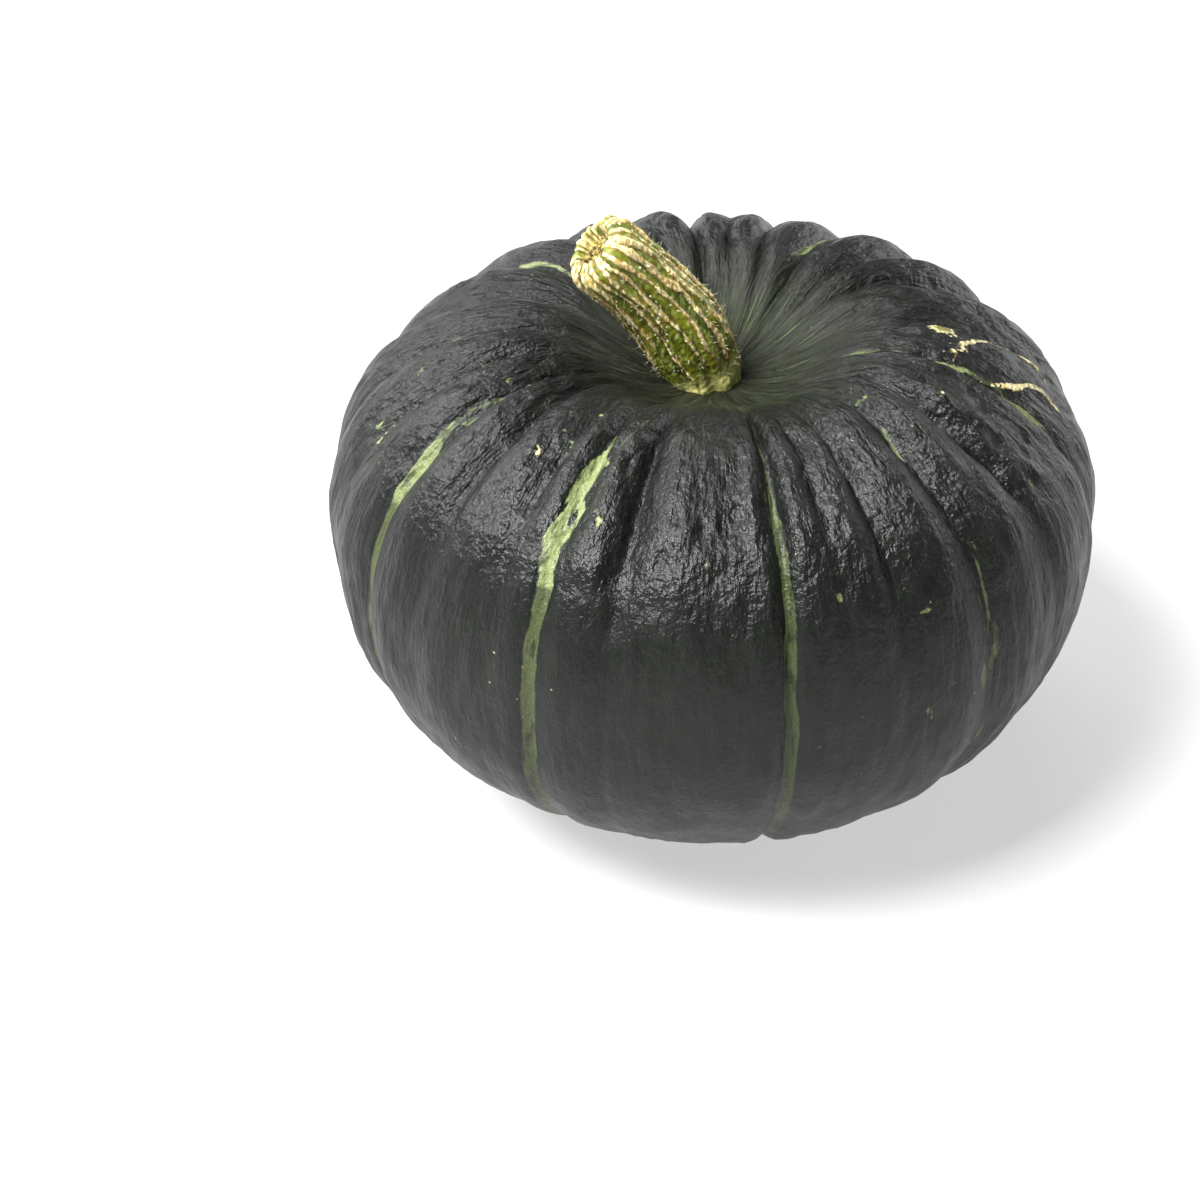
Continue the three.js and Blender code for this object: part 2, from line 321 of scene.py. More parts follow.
def add_attribute(piece, name, values, kind="FLOAT"):
    """Stores one number or vector for every vertex, for the piece's material to read."""
    attribute = piece.data.attributes.new(name, kind, "POINT")
    attribute.data.foreach_set("value" if kind == "FLOAT" else "vector", np.asarray(values, float).ravel())


def make_fruit():
    latitudes, lengths = even_latitudes(ROWS)
    azimuth, latitude = np.meshgrid(np.arange(COLUMNS) * 360 / COLUMNS, latitudes)
    reach, height = envelope(latitude)
    turn = np.radians(azimuth)
    skin = np.stack([
        SKIN_RADIUS * np.sin(turn),
        -SKIN_RADIUS * np.cos(turn),
        np.repeat(lengths[:, None], COLUMNS, axis=1),
    ], axis=-1)
    base = np.stack([
        reach * RADIUS * np.sin(turn),
        -reach * RADIUS * np.cos(turn),
        (height + STAND) * RADIUS,
    ], axis=-1)

    # Ribs that wander a little, then lumps, dents and wrinkles, all along the envelope's normal.
    wander = WANDER * field(skin * (1, 1, 0.6), 40 * MM, 3.7) * ease(0.1, 0.5, reach)
    swirl = SWIRL * field(skin * (1, 1, 0.2), 55 * MM, 6.1) * ease(0.6, 0.15, reach) * (latitude > 0)
    depth = groove_depth(azimuth + wander + swirl, latitude, reach)
    off_poles = ease(0.2, 0.5, reach)
    on_shoulder = ease(8, 40, latitude) * off_poles
    depth += (0.3 * MM - SWELLS * field(base, 26 * MM, 1.3)) * off_poles
    long_lumps = field(skin * (1, 1, 0.45), 6.5 * MM, 5.1)
    depth -= LUMPS * long_lumps * (0.15 + 0.85 * on_shoulder) * off_poles
    dent = np.maximum(field(skin * (1, 1, 0.55), 4.4 * MM, 8.2), 0)
    dent = dent + 0.6 * np.maximum(field(skin * (1, 1, 0.7), 3.0 * MM, 2.9), 0)
    hammered = 0.7 + 0.9 * ease(-0.2, 0.5, field(base, 30 * MM, 4.7))
    depth += (DENTS * dent - 0.16 * MM) * on_shoulder * hammered
    wrinkle = np.abs(field(skin * (1, 1, 0.16), 3.4 * MM, 6.6))
    beside = 0.4 + 0.6 * ease(0.45, 0.95, np.abs(np.sin(turn)))
    depth += WRINKLES * (wrinkle - 0.2) * ease(0.25, 0.5, reach) * beside * (1 - 0.6 * on_shoulder)
    folds = field(skin * (1, 1, 0.3) + 6 * MM * field(skin, 30 * MM, 2.7)[..., None], 21 * MM, 4.4)
    depth += FOLDS * folds * ease(0.55, 0.3, reach) * ease(0.07, 0.2, reach) * (latitude > 0)

    ragged = azimuth + 0.5 * field(skin, 4 * MM, 9.9)
    scar, _ = strokes_inside(ragged, latitude, reach, SCARS)
    scab, _ = strokes_inside(ragged, latitude, reach, SCAB)
    green = STRIPES + FLECKS
    blocky = 0.5 * field(skin * (1, 1, 0.4), 4 * MM, 7.5)
    stripe, which = strokes_inside(azimuth + wander + blocky, latitude, reach, [s[1:] for s in green])
    tone = np.array([s[0] for s in green])[which]
    depth -= SCAR_RISE * ease(-0.6 * MM, 0.4 * MM, scar)
    depth -= SCAB_RISE * ease(-0.3 * MM, 0.5 * MM, scab)
    depth += STRIPE_SINK * ease(-0.6 * MM, 0.6 * MM, stripe)

    ahead, behind = envelope(latitude + SLOPE_STEP), envelope(latitude - SLOPE_STEP)
    slope = np.stack([ahead[0] - behind[0], ahead[1] - behind[1]])
    slope /= np.hypot(*slope) + 1e-12
    out = reach * RADIUS - depth * slope[1]
    up = np.maximum((height + STAND) * RADIUS + depth * slope[0], 0)
    points = np.stack([out * np.sin(turn), -out * np.cos(turn), up], axis=-1)

    low = (0, 0, float(points[1, :, 2].mean()))
    high = (0, 0, float(points[-2, :, 2].mean()))
    inner = slice(1, -1)
    piece = mesh_grid("rind", points[inner], low, high)

    def keep(name, values, kind="FLOAT"):
        inside = values[inner]
        flat = inside.reshape(-1, *inside.shape[2:])
        add_attribute(piece, name, np.concatenate([flat, values[:1, 0], values[-1:, 0]]), kind)

    keep("stripe", stripe)
    keep("tone", tone)
    keep("scar", scar)
    keep("scab", scab)
    keep("hollow", ease(0.46, 0.12, reach) * (latitude > 0))
    keep("navel", ease(0.16, 0.05, reach) * (latitude < 0))
    keep("latitude", latitude / 90)
    keep("shoulder", on_shoulder)
    keep("beside", beside)
    keep("skin", skin, "FLOAT_VECTOR")
    return piece


class Nodes:
    """A small helper that adds nodes to one material and links them in a readable order."""

    def __init__(self, name):
        self.material = bpy.data.materials.new(name)
        self.material.use_nodes = True
        self.tree = self.material.node_tree
        self.tree.nodes.clear()
        output = self.tree.nodes.new("ShaderNodeOutputMaterial")
        self.shader = self.tree.nodes.new("ShaderNodeBsdfPrincipled")
        self.tree.links.new(self.shader.outputs[0], output.inputs[0])

    def link(self, source, target):
        if hasattr(source, "links"):
            self.tree.links.new(source, target)
        else:
            target.default_value = source

    def attribute(self, name, output="Fac"):
        node = self.tree.nodes.new("ShaderNodeAttribute")
        node.attribute_name = name
        return node.outputs[output]

    def position(self):
        return self.tree.nodes.new("ShaderNodeTexCoord").outputs["Object"]

    def stretch(self, vector, scale):
        node = self.tree.nodes.new("ShaderNodeMapping")
        self.link(vector, node.inputs["Vector"])
        node.inputs["Scale"].default_value = scale
        return node.outputs[0]

    def noise(self, vector, size, detail=4.0, roughness=0.55):
        node = self.tree.nodes.new("ShaderNodeTexNoise")
        self.link(vector, node.inputs["Vector"])
        node.inputs["Scale"].default_value = 1 / size
        node.inputs["Detail"].default_value = detail
        node.inputs["Roughness"].default_value = roughness
        return node.outputs[0]

    def cells(self, vector, size, output="Distance"):
        node = self.tree.nodes.new("ShaderNodeTexVoronoi")
        self.link(vector, node.inputs["Vector"])
        node.inputs["Scale"].default_value = 1 / size
        return node.outputs[output]

    def math(self, kind, a, b):
        node = self.tree.nodes.new("ShaderNodeMath")
        node.operation = kind
        for value, socket in zip((a, b), node.inputs):
            self.link(value, socket)
        return node.outputs[0]

    def ramp(self, value, low, high, to_low=0.0, to_high=1.0):
        """Moves a value from the range low..high to to_low..to_high, smoothly and clamped."""
        node = self.tree.nodes.new("ShaderNodeMapRange")
        node.interpolation_type = "SMOOTHSTEP"
        for value_in, socket in zip((value, low, high, to_low, to_high), node.inputs):
            self.link(value_in, socket)
        return node.outputs[0]

    def mix(self, share, a, b):
        node = self.tree.nodes.new("ShaderNodeMix")
        node.data_type = "RGBA"
        self.link(share, node.inputs[0])
        self.link(a, node.inputs[6])
        self.link(b, node.inputs[7])
        return node.outputs[2]

    def bump(self, height, distance, normal=None):
        node = self.tree.nodes.new("ShaderNodeBump")
        node.inputs["Strength"].default_value = 1.0
        node.inputs["Distance"].default_value = distance
        self.link(height, node.inputs["Height"])
        if normal is not None:
            self.link(normal, node.inputs["Normal"])
        return node.outputs[0]

    def set(self, **sockets):
        for name, value in sockets.items():
            self.link(value, self.shader.inputs[name.replace("_", " ")])


def rgb(red, green, blue):
    """A linear colour from 0-255 screen values."""
    def linear(value):
        value /= 255
        return value / 12.92 if value <= 0.04045 else ((value + 0.055) / 1.055) ** 2.4
    return (linear(red), linear(green), linear(blue), 1.0)


def rind_material():
    n = Nodes("rind")
    skin = n.attribute("skin", "Vector")
    where = n.position()
    hollow = n.attribute("hollow")
    latitude = n.attribute("latitude")
    shoulder = n.attribute("shoulder")

    # Colour: nearly black green, mottled, greener and paler in the stem hollow.
    mottle = n.noise(where, 14 * MM, detail=5, roughness=0.6)
    colour = n.mix(n.ramp(mottle, 0.35, 0.7), rgb(16, 17, 17), rgb(17, 20, 16))
    fine = n.noise(n.stretch(skin, (1, 1, 0.35)), 2.2 * MM, detail=6, roughness=0.65)
    colour = n.mix(n.ramp(fine, 0.35, 0.75, 0, 0.6), colour, rgb(27, 30, 25))
    radial = n.noise(n.stretch(skin, (1, 1, 0.12)), 1.4 * MM, detail=5, roughness=0.65)
    in_hollow = n.mix(n.ramp(radial, 0.40, 0.62), rgb(14, 17, 11), rgb(64, 70, 48))
    colour = n.mix(n.math("MULTIPLY", hollow, 0.9), colour, in_hollow)

    # Fine pale streaks that draw together towards the stem.
    streaks = n.noise(n.stretch(skin, (1, 1, 0.10)), 1.7 * MM, detail=4, roughness=0.65)
    streaks = n.math("MULTIPLY", n.ramp(streaks, 0.60, 0.70), n.ramp(hollow, 0.25, 0.95))
    colour = n.mix(n.math("MULTIPLY", streaks, 0.6), colour, rgb(128, 142, 92))

    # Pale freckles, most of them in and near the hollow.
    cell_size = 2.6 * MM
    spot = n.cells(n.stretch(skin, (1, 1, 0.8)), cell_size)
    spot_random = n.cells(n.stretch(skin, (1, 1, 0.8)), cell_size, output="Color")
    chance = n.ramp(n.noise(where, 18 * MM, detail=2), 0.4, 0.75, 0.90, 0.72)
    chance = n.math("SUBTRACT", chance, n.math("MULTIPLY", hollow, 0.35))
    lucky = n.math("GREATER_THAN", spot_random, chance)
    spot = n.math("ADD", spot, n.math("MULTIPLY", n.noise(where, 0.8 * MM, detail=3), 0.30))
    freckle = n.math("MULTIPLY", n.ramp(spot, 0.19, 0.25, 1, 0), lucky)
    colour = n.mix(n.math("MULTIPLY", freckle, 0.7), colour, rgb(150, 165, 118))

    # Stripes and flecks: olive to pale yellow-green, with ragged edges.
    tone = n.attribute("tone")
    ragged = n.noise(n.stretch(skin, (1, 1, 0.3)), 1.5 * MM, detail=5, roughness=0.68)
    ragged = n.math("SUBTRACT", ragged, 0.5)
    ragged = n.math("MULTIPLY", ragged, n.ramp(tone, 0.6, 0.9, 1.3 * MM, 3.0 * MM))
    inside = n.math("ADD", n.attribute("stripe"), ragged)
    stripe = n.ramp(inside, -0.10 * MM, 0.22 * MM)
    stripe_colour = n.mix(tone, rgb(44, 51, 27), rgb(136, 148, 98))
    stripe_colour = n.mix(n.ramp(latitude, 0.3, -0.4, 0, 0.6), stripe_colour, rgb(40, 50, 30))
    speckled = n.noise(where, 0.5 * MM, detail=3)
    pale = n.mix(0.3, stripe_colour, rgb(190, 204, 140))
    speckled = n.math("MULTIPLY", n.ramp(speckled, 0.42, 0.7, 0, 0.8), n.math("ADD", tone, 0.1))
    stripe_colour = n.mix(speckled, stripe_colour, pale)
    gaps = n.ramp(n.noise(n.stretch(skin, (1, 1, 0.2)), 1.6 * MM, detail=4), 0.52, 0.63, 0.95, 0.3)
    colour = n.mix(n.math("MULTIPLY", stripe, gaps), colour, stripe_colour)

    # Corky scars: cream, tan and yellow, broken along their edges. The scab is olive inside.
    broken = n.math("SUBTRACT", n.noise(where, 1.0 * MM, detail=5, roughness=0.7), 0.5)
    scar_in = n.math("ADD", n.attribute("scar"), n.math("MULTIPLY", broken, 2.1 * MM))
    scar_in = n.math("SUBTRACT", scar_in, 0.12 * MM)
    scar = n.ramp(scar_in, -0.08 * MM, 0.12 * MM)
    ochre = n.ramp(n.noise(where, 3 * MM, detail=3), 0.48, 0.7)
    brown = n.ramp(n.noise(where, 0.6 * MM, detail=3), 0.55, 0.75, 0, 0.7)
    scar_colour = n.mix(ochre, rgb(202, 192, 148), rgb(188, 146, 58))
    scar_colour = n.mix(brown, scar_colour, rgb(120, 92, 50))
    scab_in = n.math("ADD", n.attribute("scab"), n.math("MULTIPLY", broken, 2.6 * MM))
    scab = n.ramp(scab_in, -0.08 * MM, 0.12 * MM)
    scab_colour = n.mix(n.ramp(scab_in, 0.3 * MM, 1.1 * MM), rgb(196, 192, 140), rgb(112, 108, 58))
    flaky = n.ramp(n.noise(where, 1.2 * MM, detail=4), 0.5, 0.7, 0, 0.8)
    scab_colour = n.mix(flaky, scab_colour, rgb(150, 140, 70))
    colour = n.mix(scab, colour, scab_colour)
    colour = n.mix(scar, colour, scar_colour)

    # Blossom end: a small corky button underneath.
    navel = n.attribute("navel")
    navel_mask = n.ramp(n.math("ADD", navel, n.math("MULTIPLY", broken, 0.5)), 0.35, 0.6)
    button = n.mix(n.noise(where, 1.5 * MM), rgb(120, 98, 66), rgb(186, 168, 128))
    colour = n.mix(navel_mask, colour, button)

    # Relief: pebbles and lumps on the shoulder, long wrinkles lower down, grain all over.
    smooth_low = n.ramp(shoulder, 0, 1, 0.25, 1)
    lumps = n.noise(n.stretch(skin, (1, 1, 0.6)), 3.4 * MM, detail=1, roughness=0.5)
    pebbles = n.noise(n.stretch(skin, (1, 1, 0.8)), 1.25 * MM, detail=2, roughness=0.5)
    pebbles = n.math("ADD", n.math("MULTIPLY", lumps, 1.6), pebbles)
    wrinkles = n.noise(n.stretch(skin, (1, 1, 0.2)), 1.7 * MM, detail=4, roughness=0.6)
    grain = n.noise(where, 0.7 * MM, detail=4, roughness=0.6)
    normal = n.bump(n.math("MULTIPLY", pebbles, smooth_low), 0.62 * MM)
    normal = n.bump(n.math("MULTIPLY", wrinkles, n.attribute("beside")), 1.3 * MM, normal)
    normal = n.bump(grain, 0.16 * MM, normal)
    normal = n.bump(n.math("MULTIPLY", radial, hollow), 1.0 * MM, normal)
    normal = n.bump(n.math("MAXIMUM", scar, scab), 0.25 * MM, normal)

    corky = n.math("MAXIMUM", n.math("MAXIMUM", scar, scab), navel_mask)
    rough = n.ramp(n.noise(where, 6 * MM, detail=4), 0.3, 0.7, 0.30, 0.42)
    rough = n.math("ADD", rough, n.math("MULTIPLY", hollow, 0.12))
    rough = n.math("ADD", rough, n.ramp(latitude, 0.3, -0.1, 0, 0.08))
    rough = n.math("MAXIMUM", rough, n.math("MULTIPLY", corky, 0.85))
    n.set(Base_Color=colour, Roughness=rough, Normal=normal)
    n.shader.inputs["IOR"].default_value = 1.37
    return n.material


# Stem: the frame's bent stub, ribbed, with a rounded corky cut end.
STEM_FOOT = Vector((0, 0.5, 96)) * MM
STEM_BEND = Vector((-6, 0.5, 119)) * MM
STEM_TIP = Vector((-27.8, -8, 139)) * MM
STEM_RADIUS = 9.1 * MM
STEM_RIM = 3.6 * MM
STEM_RIBS = 10
STEM_COLUMNS, STEM_ROWS, CAP_ROWS = 300, 210, 40

# Relief of the stem: it swells at the belly and draws in at the foot, the green sides sink between
# the ribs, the cork and the collar stand out, and the pit goes down into the cut end.
BELLY, WAIST = 1.4 * MM, 1.2 * MM
RIB_SINK, LINE_SINK, CORK_RISE, GRAIN_RISE = 0.75 * MM, 0.42 * MM, 0.62 * MM, 0.16 * MM
COLLAR_LOBES, COLLAR_LOBE_RISE, COLLAR_RISE = 7, 0.9 * MM, 0.15 * MM
PIT_DEPTH, ROLL_RISE = 2.8 * MM, 0.2 * MM
COARSE_CRUMBS, FINE_CRUMBS = 0.7 * MM, 0.6 * MM

HAIR_COUNT = 260
HAIR_LENGTHS = (0.9 * MM, 2.0 * MM)
HAIR_RADII = (0.05 * MM, 0.085 * MM)
HAIR_SIDES, HAIR_LEVELS = 5, 3
HAIR_TAPER, HAIR_BEND = 1 / 3.5, 0.35
HAIRY_FROM, HAIRY_TO = 0.12, 0.90

# Corky ridges on the stem: turn in degrees from the front towards +X, width in mm, where along the
# stem the ridge starts, and how far it drifts in degrees by the foot.
CORK_RIDGES = (
    (-150, 1.5, 0.10, 8), (-128, 1.0, 0.45, -6), (-108, 1.6, 0.05, 6), (-88, 1.3, 0.14, -5),
    (-74, 1.1, 0.52, 12), (-60, 1.3, 0.22, -4), (-46, 1.0, 0.34, 10), (-30, 1.1, 0.40, -3),
    (-16, 1.3, 0.17, 9), (0, 1.0, 0.55, 10), (12, 1.2, 0.30, 8), (30, 1.5, 0.24, 6),
    (47, 2.1, 0.18, 14), (66, 1.5, 0.24, 9), (84, 1.3, 0.12, 4), (103, 1.2, 0.36, -8),
    (122, 1.6, 0.08, 5), (144, 1.1, 0.30, -6), (164, 1.5, 0.12, 6), (182, 1.0, 0.42, 8),
    (195, 1.4, 0.16, -4),
)


def stem_route(share):
    """Point and direction on the stem's middle line, at a share of the curve."""
    point = STEM_FOOT.lerp(STEM_BEND, share).lerp(STEM_BEND.lerp(STEM_TIP, share), share)
    along = (STEM_BEND - STEM_FOOT).lerp(STEM_TIP - STEM_BEND, share).normalized()
    return point, along


def stem_ring(along, turn):
    """Unit directions out of the middle line, one for each turn from the front towards +X."""
    across = Vector((0, 1, 0)).cross(along).normalized()
    back = along.cross(across)
    return np.outer(np.sin(turn), across) - np.outer(np.cos(turn), back)


def cork_inside(turn, share, radius):
    """How far inside the nearest corky ridge of the stem a point is, in metres."""
    inside = np.full_like(share, -1.0)
    for number, (at, width, start, drift) in enumerate(CORK_RIDGES):
        line = np.stack([share * 9, 0 * share + number * 3.3, 0 * share], axis=-1)
        middle = np.radians(at + drift * (1 - share) + 7 * field(line, 1.6))
        away = np.abs((turn - middle + math.pi) % TAU - math.pi) * radius
        full = width * (0.48 + 0.34 * share) * (1 + 1.0 * field(line, 0.6, 4.5)) * MM
        full = full * ease(start - 0.04, start + 0.16, share) - 1.5 * MM * ease(start, start - 0.05, share)
        inside = np.maximum(inside, full / 2 - away)
    return inside


def make_stem():
    shares = np.linspace(0.04, 1, STEM_ROWS)
    route = [stem_route(s) for s in shares]
    steps = [0] + [(b[0] - a[0]).length for a, b in zip(route, route[1:])]
    length = sum(steps)
    turn = np.arange(STEM_COLUMNS) / STEM_COLUMNS * TAU
    around, share = np.meshgrid(turn, shares)
    belly = BELLY * np.exp(-(((share - 0.4) / 0.22) ** 2))
    waist = WAIST * np.exp(-(((share - 0.06) / 0.14) ** 2))
    radius = STEM_RADIUS + belly - waist
    on_side = np.stack([9 * np.sin(around), 9 * np.cos(around), share * 53], axis=-1) * MM

    # Broad ribs, narrow corky ridges on top, and a lobed collar where the stem meets the skin.
    sway = around + 0.18 * field(on_side * (1, 1, 0.35), 9 * MM, 2.2)
    ribs = 0.5 * (1 + np.cos(STEM_RIBS * sway + 0.6 * np.sin(3 * around)))
    cork = cork_inside(around, share, radius)
    cork_top = ease(-0.35 * MM, 0.45 * MM, cork + 0.35 * MM * field(on_side, 1.4 * MM, 1.1))
    fine = np.abs(field(on_side * (1, 1, 0.22), 1.5 * MM, 5.5))
    collar = np.exp(-(((share - 0.125) / 0.06) ** 2))
    collar_lobes = 0.5 + 0.5 * np.cos(COLLAR_LOBES * around + 1.2)
    radius = radius - RIB_SINK * (1 - ribs ** 0.8) - LINE_SINK * fine + CORK_RISE * cork_top
    radius += collar * (COLLAR_LOBE_RISE * collar_lobes + COLLAR_RISE)
    radius += GRAIN_RISE * field(on_side, 1.1 * MM, 7.7)
    drop = np.clip((share - (1 - STEM_RIM / length)) * length / STEM_RIM, 0, 1)
    radius = radius - 0.75 * STEM_RIM * (1 - np.sqrt(np.clip(1 - drop ** 2, 0, 1)))
    points = np.array([
        np.array(point) + stem_ring(along, turn) * radius[row][:, None]
        for row, (point, along) in enumerate(route)
    ])

    # Cut end: a low roll inside the rim, then a crumbly brown pit.
    point, along = route[-1]
    rim = points[-1] - np.array(point)
    cap = []
    for step in range(1, CAP_ROWS):
        inward = step / CAP_ROWS
        at = rim * (1 - inward)
        off_centre = inward + 0.16 * np.sin(turn - 1.2) * inward * (1 - inward) * 4
        crumbs = COARSE_CRUMBS * field(np.array(point) + at, 1.9 * MM, 3.1)
        crumbs += FINE_CRUMBS * field(at, 0.9 * MM, 6.3)
        pit = ROLL_RISE * np.exp(-(((off_centre - 0.16) / 0.13) ** 2))
        pit -= PIT_DEPTH * ease(0.14, 0.45, off_centre)
        sink = pit + crumbs * ease(0.05, 0.3, inward)
        cap.append(np.array(point) + at + sink[:, None] * np.array(along))
    cap = np.array(cap)
    middle = cap[-1].mean(axis=0)
    piece = mesh_grid("stem_body", np.concatenate([points, cap]), points[0].mean(axis=0), middle)

    def keep(name, sides, end, foot, top):
        rows = np.concatenate([sides, end])
        add_attribute(piece, name, np.append(rows.ravel(), (foot, top)))

    inward = np.linspace(1 / CAP_ROWS, 1 - 1 / CAP_ROWS, CAP_ROWS - 1)[:, None] + 0 * turn[None]
    keep("cork", cork, np.repeat(cork[-1:], CAP_ROWS - 1, axis=0), -MM, 0)
    keep("rib", ribs, np.repeat(ribs[-1:], CAP_ROWS - 1, axis=0), 0.5, 0.5)
    keep("cut", share * 0, inward, 0, 1)
    keep("share", share, 1 + 0 * inward, 0, 1)
    # The collar's pale colour is its own, but it is painted paler on the front-left, the side the key
    # light falls on: painted light.
    painted_light_front_left = 0.5 + 0.5 * np.cos(around + 0.45)
    keep("collar", ease(0.27, 0.17, share) * (0.25 + 0.75 * painted_light_front_left), 0 * inward, 0, 0)
    return piece, shares, route, radius, turn


def make_hairs(shares, route, radius, turn):
    """Short pale hairs on the stem's sides: thin bent cones."""
    picker = random.Random(11)
    verts, faces = [], []
    sides = HAIR_SIDES
    for _ in range(HAIR_COUNT):
        row = picker.randrange(int(HAIRY_FROM * STEM_ROWS), int(HAIRY_TO * STEM_ROWS))
        column = picker.randrange(STEM_COLUMNS)
        point, along = route[row]
        out = Vector(stem_ring(along, turn[column:column + 1])[0])
        foot = point + out * (float(radius[row, column]) - 0.1 * MM)
        lean = along * picker.uniform(-0.5, 0.7) + out.cross(along) * picker.uniform(-0.5, 0.5)
        heading = (out + 0.5 * lean).normalized()
        tall = picker.uniform(*HAIR_LENGTHS)
        thick = picker.uniform(*HAIR_RADII)
        first = len(verts)
        for level in range(HAIR_LEVELS):
            spot = foot + heading * tall * level / HAIR_LEVELS
            side = heading.orthogonal().normalized()
            other = heading.cross(side)
            for k in range(sides):
                angle = TAU * k / sides
                ring = side * math.cos(angle) + other * math.sin(angle)
                verts.append(spot + ring * thick * (1 - level * HAIR_TAPER))
            heading = (heading + HAIR_BEND * lean).normalized()
        tip = len(verts)
        verts.append(foot + (out + 0.8 * lean).normalized() * tall)
        faces.append(tuple(first + k for k in reversed(range(sides))))
        for level in range(HAIR_LEVELS - 1):
            for k in range(sides):
                a, b = first + level * sides + k, first + level * sides + (k + 1) % sides
                faces.append((a, b, b + sides, a + sides))
        for k in range(sides):
            faces.append((tip - sides + k, tip - sides + (k + 1) % sides, tip))
    mesh = bpy.data.meshes.new("stem_hairs")
    mesh.from_pydata(verts, [], faces)
    mesh.update()
    piece = bpy.data.objects.new("stem_hairs", mesh)
    bpy.context.collection.objects.link(piece)
    return piece


def stem_material():
    n = Nodes("stem")
    where = n.position()
    share = n.attribute("share")
    rib = n.attribute("rib")
    collar = n.attribute("collar")

    # Green flesh: darker in the valleys as painted shade, paler on the ribs, with lengthwise lines.
    lines = n.noise(n.stretch(where, (1, 1, 0.28)), 0.9 * MM, detail=4, roughness=0.6)
    green = n.mix(n.ramp(n.noise(where, 6 * MM, detail=3), 0.35, 0.65), rgb(82, 92, 0), rgb(124, 130, 14))
    # Painted shade: the green turns dark olive in the valleys between the ribs.
    green = n.mix(n.ramp(rib, 0.0, 0.7, 0.75, 0), green, rgb(46, 60, 4))
    green = n.mix(n.ramp(lines, 0.48, 0.66, 0, 0.7), green, rgb(148, 158, 74))
    bloom = n.ramp(n.noise(where, 3.5 * MM, detail=4), 0.52, 0.66)
    bloom = n.math("MULTIPLY", bloom, n.ramp(lines, 0.4, 0.6))
    green = n.mix(n.math("MULTIPLY", bloom, 0.55), green, rgb(178, 186, 118))
    # Pale yellow collar at the foot: its own colour, plus painted light that makes it paler on the lit
    # front-left side.
    colour = n.mix(n.math("MULTIPLY", collar, n.ramp(lines, 0.38, 0.6, 0.7, 1)), green, rgb(222, 220, 138))

    # Corky ridges: cream with tan grain and a rusty edge.
    broken = n.math("SUBTRACT", n.noise(where, 0.9 * MM, detail=5, roughness=0.7), 0.5)
    cork_in = n.math("ADD", n.attribute("cork"), n.math("MULTIPLY", broken, 1.7 * MM))
    cork_in = n.math("ADD", cork_in, n.ramp(share, 0.93, 1.0, 0, 0.35 * MM))
    rust = n.ramp(cork_in, -0.32 * MM, -0.08 * MM)
    rust = n.math("MULTIPLY", rust, n.ramp(n.noise(where, 2.5 * MM, detail=2), 0.42, 0.58))
    colour = n.mix(n.math("MULTIPLY", rust, 0.75), colour, rgb(150, 104, 36))
    cork = n.ramp(cork_in, -0.10 * MM, 0.12 * MM)
    tan = n.noise(n.stretch(where, (1, 1, 0.5)), 0.9 * MM, detail=5, roughness=0.7)
    cork_colour = n.mix(n.ramp(tan, 0.40, 0.60), rgb(164, 134, 58), rgb(240, 227, 172))
    colour = n.mix(cork, colour, cork_colour)

    # White dots.
    dots = n.cells(where, 1.5 * MM)
    lucky = n.math("GREATER_THAN", n.cells(where, 1.5 * MM, output="Color"), 0.55)
    dot = n.math("MULTIPLY", n.ramp(dots, 0.16, 0.22, 1, 0), lucky)
    dot = n.math("MULTIPLY", dot, n.ramp(share, 0.12, 0.3))
    colour = n.mix(dot, colour, rgb(246, 242, 208))

    # Cut end: cream rolled rim, then brown and yellow crumbs in the pit.
    cut = n.math("ADD", n.attribute("cut"), n.math("MULTIPLY", broken, 0.35))
    crumbs = n.noise(where, 1.0 * MM, detail=5, roughness=0.75)
    pit_colour = n.mix(n.ramp(crumbs, 0.44, 0.62), rgb(44, 38, 12), rgb(206, 182, 96))
    colour = n.mix(n.ramp(cut, 0.20, 0.36), colour, pit_colour)

    normal = n.bump(n.noise(where, 0.55 * MM, detail=4, roughness=0.6), 0.22 * MM)
    normal = n.bump(cork, 0.22 * MM, normal)
    normal = n.bump(dot, 0.12 * MM, normal)
    rough = n.math("ADD", n.math("MULTIPLY", cork, 0.28), n.ramp(crumbs, 0.3, 0.7, 0.42, 0.56))
    n.set(Base_Color=colour, Roughness=rough, Normal=normal)
    return n.material


def hair_material():
    n = Nodes("stem hairs")
    tint = n.ramp(n.noise(n.position(), 2 * MM, detail=2), 0.35, 0.65)
    n.set(Base_Color=n.mix(tint, rgb(176, 172, 130), rgb(222, 220, 190)))
    n.shader.inputs["Roughness"].default_value = 0.5
    return n.material


def plain_material(name, colour, roughness):
    n = Nodes(name)
    n.shader.inputs["Base Color"].default_value = colour
    n.shader.inputs["Roughness"].default_value = roughness
    return n.material


def add_area_light(name, at, target, size, power):
    data = bpy.data.lights.new(name, "AREA")
    data.shape = "RECTANGLE"
    data.size, data.size_y = size
    data.energy = power
    light = bpy.data.objects.new(name, data)
    bpy.context.collection.objects.link(light)
    light.location = at
    light.visible_camera = False
    light.rotation_euler = (Vector(target) - Vector(at)).to_track_quat("-Z", "Y").to_euler()


# Studio: a pale floor that glows a little, and soft lights: name, place, size, power in watts.
FLOOR_SIZE = 8
FLOOR_GREY, FLOOR_GLOW, WORLD_GLOW = 0.30, 0.56, 0.12
WHITE = (1, 1, 1, 1)
LIGHTS = (
    ("key", (-0.90, -0.64, 1.74), (0.80, 0.75), 115),
    ("left", (-1.60, 1.15, 0.85), (1.5, 0.9), 30),
    ("behind", (-0.20, 0.95, 1.85), (1.2, 0.6), 13),
    ("right", (1.55, 1.30, 0.45), (1.3, 0.6), 14),
)

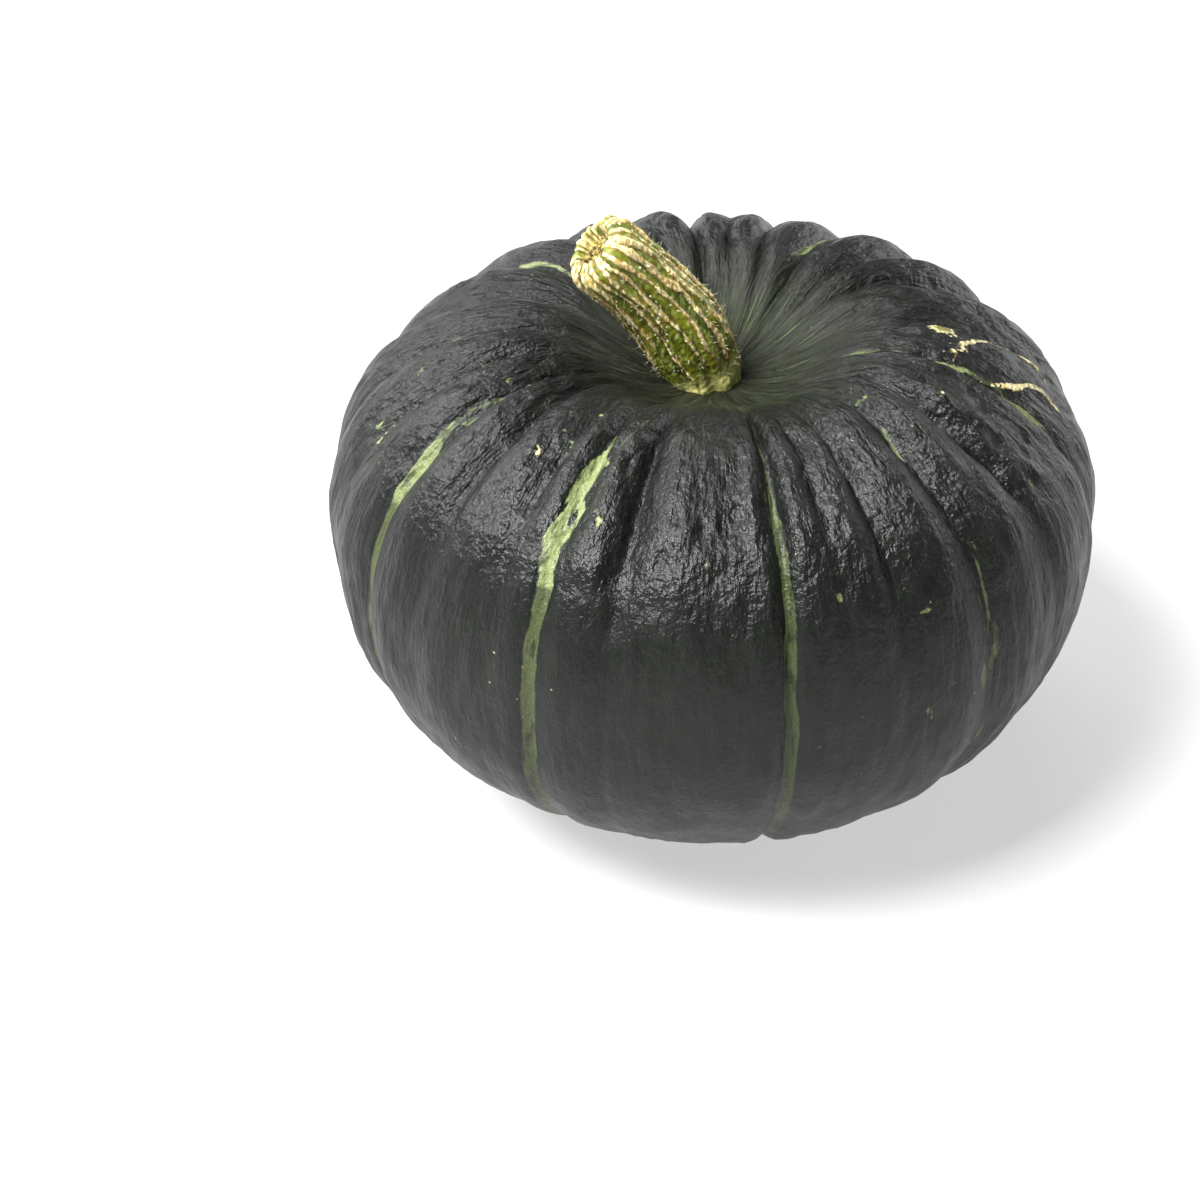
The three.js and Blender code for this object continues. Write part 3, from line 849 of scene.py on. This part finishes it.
# Camera: above the front, at the height and distance of a table-top photograph.
CAMERA_ELEVATION = math.radians(34.7)
CAMERA_DISTANCE = 5.86 * RADIUS
CAMERA_LENS = 66.1
AIM_LEFT, AIM_DOWN = 0.280 * RADIUS, 0.243 * RADIUS


def make_camera(centre):
    back = Vector((0, -math.cos(CAMERA_ELEVATION), math.sin(CAMERA_ELEVATION)))
    right = Vector((1, 0, 0))
    up = back.cross(right)
    aim = centre - right * AIM_LEFT - up * AIM_DOWN
    data = bpy.data.cameras.new("camera")
    data.lens = CAMERA_LENS
    data.sensor_width = 36
    data.clip_start = 0.01
    camera = bpy.data.objects.new("camera", data)
    bpy.context.collection.objects.link(camera)
    camera.location = centre + back * CAMERA_DISTANCE
    camera.rotation_euler = (aim - camera.location).to_track_quat("-Z", "Y").to_euler()
    bpy.context.scene.camera = camera


def make_studio(centre):
    bpy.ops.mesh.primitive_plane_add(size=FLOOR_SIZE, location=(0, 0, 0))
    floor = bpy.context.object
    floor.name = "floor"
    pale = plain_material("floor", (FLOOR_GREY, FLOOR_GREY, FLOOR_GREY, 1), 0.9)
    shader = pale.node_tree.nodes["Principled BSDF"]
    shader.inputs["Emission Color"].default_value = WHITE
    shader.inputs["Emission Strength"].default_value = FLOOR_GLOW
    floor.data.materials.append(pale)
    world = bpy.data.worlds.new("world")
    bpy.context.scene.world = world
    world.use_nodes = True
    background = world.node_tree.nodes["Background"]
    background.inputs["Color"].default_value = WHITE
    background.inputs["Strength"].default_value = WORLD_GLOW
    for name, at, size, power in LIGHTS:
        add_area_light(name, at, centre, size, power)


low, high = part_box("fruit")
middle = Vector(((low[0] + high[0]) / 2, (low[1] + high[1]) / 2, STAND * RADIUS))
make_camera(Vector((0, 0, STAND * RADIUS)))
make_studio(middle)
bpy.context.scene.view_settings.view_transform = "Standard"

rind = make_fruit()
rind.data.materials.append(rind_material())
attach(rind, "root")
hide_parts("fruit")

stem, *stem_shape = make_stem()
stem.data.materials.append(stem_material())
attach(stem, "root")
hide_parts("stem")

hairs = make_hairs(*stem_shape)
hairs.data.materials.append(hair_material())
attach(hairs, "root")
